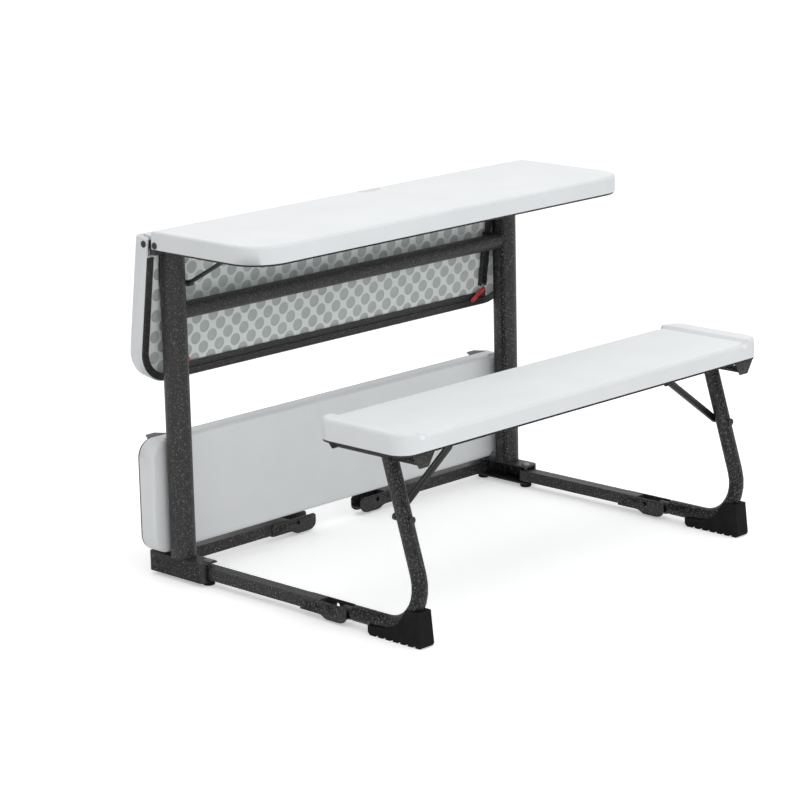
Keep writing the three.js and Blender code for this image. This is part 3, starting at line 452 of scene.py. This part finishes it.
def join_rings(bm, rings):
    """A closed shape from rings of points that have the same number of points."""
    for low, high in zip(rings, rings[1:]):
        for i in range(len(low)):
            j = (i + 1) % len(low)
            bm.faces.new((low[i], low[j], high[j], high[i]))
    bm.faces.new(rings[0])
    bm.faces.new(rings[-1])


def hollow_cutter(place, spots):
    bm = bmesh.new()
    for x, v in spots:
        rings = []
        for radius, w in HOLLOW_RINGS:
            ring = []
            for i in range(HOLLOW_SIDES):
                turn = 2 * math.pi * i / HOLLOW_SIDES
                spot = place(x + radius * math.cos(turn), v + radius * math.sin(turn), w)
                ring.append(bm.verts.new(spot))
            rings.append(ring)
        join_rings(bm, rings)
    bmesh.ops.recalc_face_normals(bm, faces=bm.faces)
    # The hollows' faces take the darker grey-green, as painted shade
    for face in bm.faces:
        face.material_index = HOLLOW_PAINTED_SHADE_SLOT
    mesh = bpy.data.meshes.new("hollows")
    bm.to_mesh(mesh)
    bm.free()
    mesh.materials.append(WHITE)
    mesh.materials.append(HOLLOW_PAINTED_SHADE)
    return mesh


def hollowed_panel(node, name, place, spots):
    """The panel's solid with its hollows cut in, standing for the node."""
    base = nodes[node].data.copy()
    bm = bmesh.new()
    bm.from_mesh(base)
    bmesh.ops.remove_doubles(bm, verts=bm.verts, dist=MERGE_DISTANCE)
    upward = (place(0, 0, 1) - place(0, 0, 0)).normalized()
    bm.normal_update()
    # Faces are coloured by which way they face: upward ones lighter as painted light, downward ones as
    # painted light and shade
    for face in bm.faces:
        facing = face.normal.dot(upward)
        face.material_index = EDGE_SLOT
        if facing > FLAT_FACING:
            face.material_index = UPPER_PAINTED_LIGHT_SLOT
        if facing < -FLAT_FACING:
            face.material_index = UNDERSIDE_PAINTED_SHADING_SLOT
    base.materials.clear()
    for material in PANEL_MATERIALS:
        base.materials.append(material)
    bm.to_mesh(base)
    bm.free()
    work = bpy.data.objects.new("panel_work", base)
    cutter = bpy.data.objects.new("panel_cutter", hollow_cutter(place, spots))
    for obj in (work, cutter):
        bpy.context.scene.collection.objects.link(obj)
    modifier = work.modifiers.new("hollows", "BOOLEAN")
    modifier.operation = "DIFFERENCE"
    modifier.solver = "EXACT"
    modifier.object = cutter
    bpy.context.view_layer.update()
    shown = work.evaluated_get(bpy.context.evaluated_depsgraph_get())
    mesh = bpy.data.meshes.new_from_object(shown)
    bpy.data.objects.remove(work)
    bpy.data.objects.remove(cutter)
    mesh.name = name
    for polygon in mesh.polygons:
        polygon.use_smooth = True
    mesh.set_sharp_from_angle(angle=SHARP_ANGLE)
    obj = piece(name, mesh, body_of[node], "white_panel")
    weigh_normals(obj)
    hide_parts(node)


def top_spots():
    spots = []
    for row in TOP_ROWS:
        v = TOP_ROW_V + row * HALF_PITCH
        for column in HOLLOW_COLUMNS:
            x = column * HALF_PITCH
            skipped = (row + column) % 2 == 1
            near_hinge = abs(x) > HINGE_X and v < HINGE_V
            past_x = max(abs(x) - TOP_CORNER_X, 0.0)
            past_v = max(v - TOP_CORNER_V, 0.0)
            near_corner = math.hypot(past_x, past_v) > TOP_CORNER_REACH
            if not skipped and not near_hinge and not near_corner:
                spots.append((x, v))
    return spots


def bench_spots():
    spots = []
    for row in BENCH_ROWS:
        v = row * HALF_PITCH
        for column in HOLLOW_COLUMNS:
            x = column * HALF_PITCH
            skipped = (row + column) % 2 == 1
            near_corner = abs(x) > BENCH_CORNER_X and abs(v) > BENCH_CORNER_V
            if not skipped and not near_corner:
                spots.append((x, v))
    return spots


for side in ("near", "far"):
    hollowed_panel(
        f"top_{side}", f"half_top_{side}",
        lambda x, v, w, side=side: under_top(side, x, v, w), top_spots()
    )
    hollowed_panel(
        f"bench_seat_{side}", f"seat_{side}",
        lambda x, v, w, side=side: under_bench(side, x, v, w), bench_spots()
    )


# Weld beads where the crossbar meets the posts

BEAD_COUNT = 26
BEAD_SIDES = 8
BEAD_RING_R = 17.9
BEAD_R = 2.0
BEAD_RIPPLE = 0.35
BEAD_RIPPLES = 13
BEAD_INSET = 0.8
# The bead is a little flattened, across and along the crossbar
BEAD_ACROSS = 0.8
BEAD_ALONG = 0.7


def weld_bead(sign):
    bm = bmesh.new()
    for i in range(BEAD_COUNT):
        for k in range(BEAD_SIDES):
            turn = 2 * math.pi * i / BEAD_COUNT
            around = 2 * math.pi * k / BEAD_SIDES
            ripple = BEAD_R + BEAD_RIPPLE * math.sin(turn * BEAD_RIPPLES)
            radius = BEAD_RING_R + ripple * math.cos(around) * BEAD_ACROSS
            y = radius * math.cos(turn)
            # The bead follows the post's round inner face
            bend = max(abs(y) - POST_FLAT, 0.0)
            face = math.sqrt(POST_R ** 2 - bend ** 2)
            x = POST_X - face - BEAD_INSET + ripple * math.sin(around) * BEAD_ALONG
            bm.verts.new(at(sign * x, y, CROSSBAR_Z + radius * math.sin(turn)))
    bm.verts.ensure_lookup_table()
    for i in range(BEAD_COUNT):
        here = i * BEAD_SIDES
        there = (i + 1) % BEAD_COUNT * BEAD_SIDES
        for k in range(BEAD_SIDES):
            m = (k + 1) % BEAD_SIDES
            corners = (here + k, there + k, there + m, here + m)
            bm.faces.new([bm.verts[corner] for corner in corners])
    return bm


for word, sign in SIDES:
    name = f"weld_bead_{word}"
    piece(name, mesh_from(weld_bead(sign), name), "frame", "hammertone_paint", HAMMERED)


# Dark crosses on the hinge bolts: painted shade standing for their driver recesses

CROSS_REACH = 2.6
CROSS_HALF = 0.7
CROSS_OUTLINE = (
    (-CROSS_REACH, -CROSS_HALF), (-CROSS_HALF, -CROSS_HALF), (-CROSS_HALF, -CROSS_REACH),
    (CROSS_HALF, -CROSS_REACH), (CROSS_HALF, -CROSS_HALF), (CROSS_REACH, -CROSS_HALF),
    (CROSS_REACH, CROSS_HALF), (CROSS_HALF, CROSS_HALF), (CROSS_HALF, CROSS_REACH),
    (-CROSS_HALF, CROSS_REACH), (-CROSS_HALF, CROSS_HALF), (-CROSS_REACH, CROSS_HALF)
)
# Height over the bolt's face and scale of the outline, at the foot and at the top
CROSS_RINGS = ((-0.4, 1.0), (0.12, 0.92))


def recess_shade_cross(side, word, sign, out):
    bm = bmesh.new()
    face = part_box(f"hinge_bolt_{side}_{word}")[0 if sign < 0 else 1][0]
    centre = Vector((face, at(0, out * HINGE_OFFSET, 0).y, HINGE_Z / 1000))
    rings = []
    for rise, scale in CROSS_RINGS:
        ring = []
        for y, z in CROSS_OUTLINE:
            ring.append(bm.verts.new(centre + Vector((sign * rise, y * scale, z * scale)) / 1000))
        rings.append(ring)
    join_rings(bm, rings)
    return bm


for side, out in (("near", -1), ("far", 1)):
    for word, sign in SIDES:
        name = f"driver_cross_{side}_{word}"
        mesh = mesh_from(recess_shade_cross(side, word, sign, out), name)
        piece(name, mesh, "frame", "black_paint", SATIN)


# The half-round mark moulded into the near half at the seam

MARK_X = 55.0
MARK_Y = -8.0
MARK_LONG = 34.0
MARK_DEEP = 26.0
MARK_STEPS = 24
# Height and scale of the outline, at the foot and at the top
MARK_RINGS = ((739.5, 1.0, 1.0), (740.25, 0.985, 0.98))


def seam_mark():
    bm = bmesh.new()
    rings = []
    for z, scale_x, scale_y in MARK_RINGS:
        ring = []
        for i in range(MARK_STEPS + 1):
            turn = math.pi * i / MARK_STEPS
            x = MARK_X + MARK_LONG * scale_x * math.cos(turn)
            y = MARK_Y - MARK_DEEP * scale_y * math.sin(turn)
            ring.append(bm.verts.new(at(x, y, z)))
        rings.append(ring)
    join_rings(bm, rings)
    return bm


piece("seam_mark", mesh_from(seam_mark(), "seam_mark"), "near_top", "white_panel", SEAM)


# Finger ribs on the red levers, three on each side of the pivot

def lever_point(side, sign, along, across, lift):
    """A point on a lever: along its length, across its width and out from its face."""
    turn = LEVER_TURN - math.pi if side == "near" else -LEVER_TURN
    x = sign * LEVER_X + along * math.cos(turn) - across * math.sin(turn)
    v = LEVER_V + along * math.sin(turn) + across * math.cos(turn)
    return under_top(side, x, v, LEVER_FACE - lift)


RIB_SPOTS = (-15.0, -11.0, -7.0, 13.0, 17.0, 21.0)
# Height over the lever's face, half length and half width of each ring of a rib
RIB_RINGS = ((-0.4, 1.1, 3.9), (0.5, 0.9, 3.6), (0.8, 0.5, 3.2))
RIB_CORNERS = ((-1, -1), (1, -1), (1, 1), (-1, 1))


def lever_ribs(side, sign):
    bm = bmesh.new()
    for spot in RIB_SPOTS:
        rings = []
        for lift, half, wide in RIB_RINGS:
            ring = []
            for a, b in RIB_CORNERS:
                point = lever_point(side, sign, spot + a * half, b * wide, lift)
                ring.append(bm.verts.new(point))
            rings.append(ring)
        join_rings(bm, rings)
    return bm


for side in ("near", "far"):
    for word, sign in SIDES:
        name = f"lever_ribs_{side}_{word}"
        mesh = mesh_from(lever_ribs(side, sign), name)
        piece(name, mesh, f"{side}_lever_{word}", "red_lever", RED)


# Camera at the photograph's view

PHOTO_PIXELS = 800.0
FOCAL_PIXELS = 2934.0
SENSOR = 36.0
CAMERA_PLACE = (-4312.1, -4398.5, 1810.2)
YAW = math.radians(45.09)
PITCH = math.radians(-13.75)
ROLL = math.radians(-1.36)
SHIFT_X = 0.0202
SHIFT_Y = -0.01035

camera_data = bpy.data.cameras.new("camera")
camera_data.sensor_width = SENSOR
camera_data.lens = FOCAL_PIXELS / PHOTO_PIXELS * SENSOR
camera_data.shift_x = SHIFT_X
camera_data.shift_y = SHIFT_Y
camera_data.clip_end = 100.0
camera = bpy.data.objects.new("camera", camera_data)
bpy.context.scene.collection.objects.link(camera)
level = math.cos(PITCH)
ahead = Vector((math.sin(YAW) * level, math.cos(YAW) * level, math.sin(PITCH)))
right = ahead.cross(Vector((0, 0, 1))).normalized()
upward = right.cross(ahead)
right_rolled = right * math.cos(ROLL) + upward * math.sin(ROLL)
up_rolled = -right * math.sin(ROLL) + upward * math.cos(ROLL)
turned = Matrix((right_rolled, up_rolled, -ahead)).transposed()
camera.matrix_world = Matrix.Translation(at(*CAMERA_PLACE)) @ turned.to_4x4()
bpy.context.scene.camera = camera


# Floor and studio light

FLOOR_LIFT = 0.4
FLOOR_HALF = 30.0
FLOOR_Z = -0.0005
LIGHT_SIZE = 2.6


def seen_rays(tree):
    """One for camera, glossy and transmission rays, zero for the diffuse rays that light the object."""
    path = tree.nodes.new("ShaderNodeLightPath")
    seen = path.outputs["Is Camera Ray"]
    for kind in ("Is Glossy Ray", "Is Transmission Ray"):
        either = tree.nodes.new("ShaderNodeMath")
        either.operation = "MAXIMUM"
        tree.links.new(seen, either.inputs[0])
        tree.links.new(path.outputs[kind], either.inputs[1])
        seen = either.outputs[0]
    return seen


bm = bmesh.new()
for a, b in ((-1, -1), (1, -1), (1, 1), (-1, 1)):
    bm.verts.new((a * FLOOR_HALF, b * FLOOR_HALF, FLOOR_Z))
bm.faces.new(bm.verts)
floor_mesh = bpy.data.meshes.new("floor")
bm.to_mesh(floor_mesh)
bm.free()
floor = bpy.data.objects.new("floor", floor_mesh)
bpy.context.scene.collection.objects.link(floor)
floor_material, floor_tree, floor_shader, floor_place = new_material("pale_floor")
floor_shader.inputs["Base Color"].default_value = (0.9, 0.9, 0.9, 1.0)
floor_shader.inputs["Roughness"].default_value = 0.9
floor_shader.inputs["Emission Color"].default_value = (1.0, 1.0, 1.0, 1.0)
# Where it is seen, the floor is lifted to white; it gives the object no more diffuse light
lift = spread(floor_tree, seen_rays(floor_tree), 0.0, FLOOR_LIFT)
floor_tree.links.new(lift, floor_shader.inputs["Emission Strength"])
floor_mesh.materials.append(floor_material)


def area_light(name, spot, target, power):
    data = bpy.data.lights.new(name, "AREA")
    data.shape = "RECTANGLE"
    data.size = LIGHT_SIZE
    data.size_y = LIGHT_SIZE
    data.energy = power
    obj = bpy.data.objects.new(name, data)
    bpy.context.scene.collection.objects.link(obj)
    obj.location = spot
    toward = Vector(target) - Vector(spot)
    obj.rotation_euler = toward.to_track_quat("-Z", "Y").to_euler()


area_light("key", (0.3, -1.6, 3.6), (0, -0.2, 0.4), 34.0)
area_light("fill", (-1.8, -3.3, 2.0), (0, 0, 0.35), 26.0)
area_light("back", (0.8, 3.4, 2.6), (0, 0, 0.4), 10.0)

world = bpy.data.worlds.new("studio")
world.use_nodes = True
backdrop = world.node_tree.nodes["Background"]
sky_place = world.node_tree.nodes.new("ShaderNodeTexCoord")
sky_split = world.node_tree.nodes.new("ShaderNodeSeparateXYZ")
world.node_tree.links.new(sky_place.outputs["Generated"], sky_split.inputs["Vector"])
sky = ramp(world.node_tree, sky_split.outputs["Z"], [
    (0.0, (0.386, 0.386, 0.386)), (0.9, (0.84, 0.84, 0.84))
])
sky_shown = blend_colours(world.node_tree, seen_rays(world.node_tree), sky, (1.0, 1.0, 1.0))
world.node_tree.links.new(sky_shown, backdrop.inputs["Color"])
bpy.context.scene.world = world

bpy.context.scene.view_settings.view_transform = "Standard"
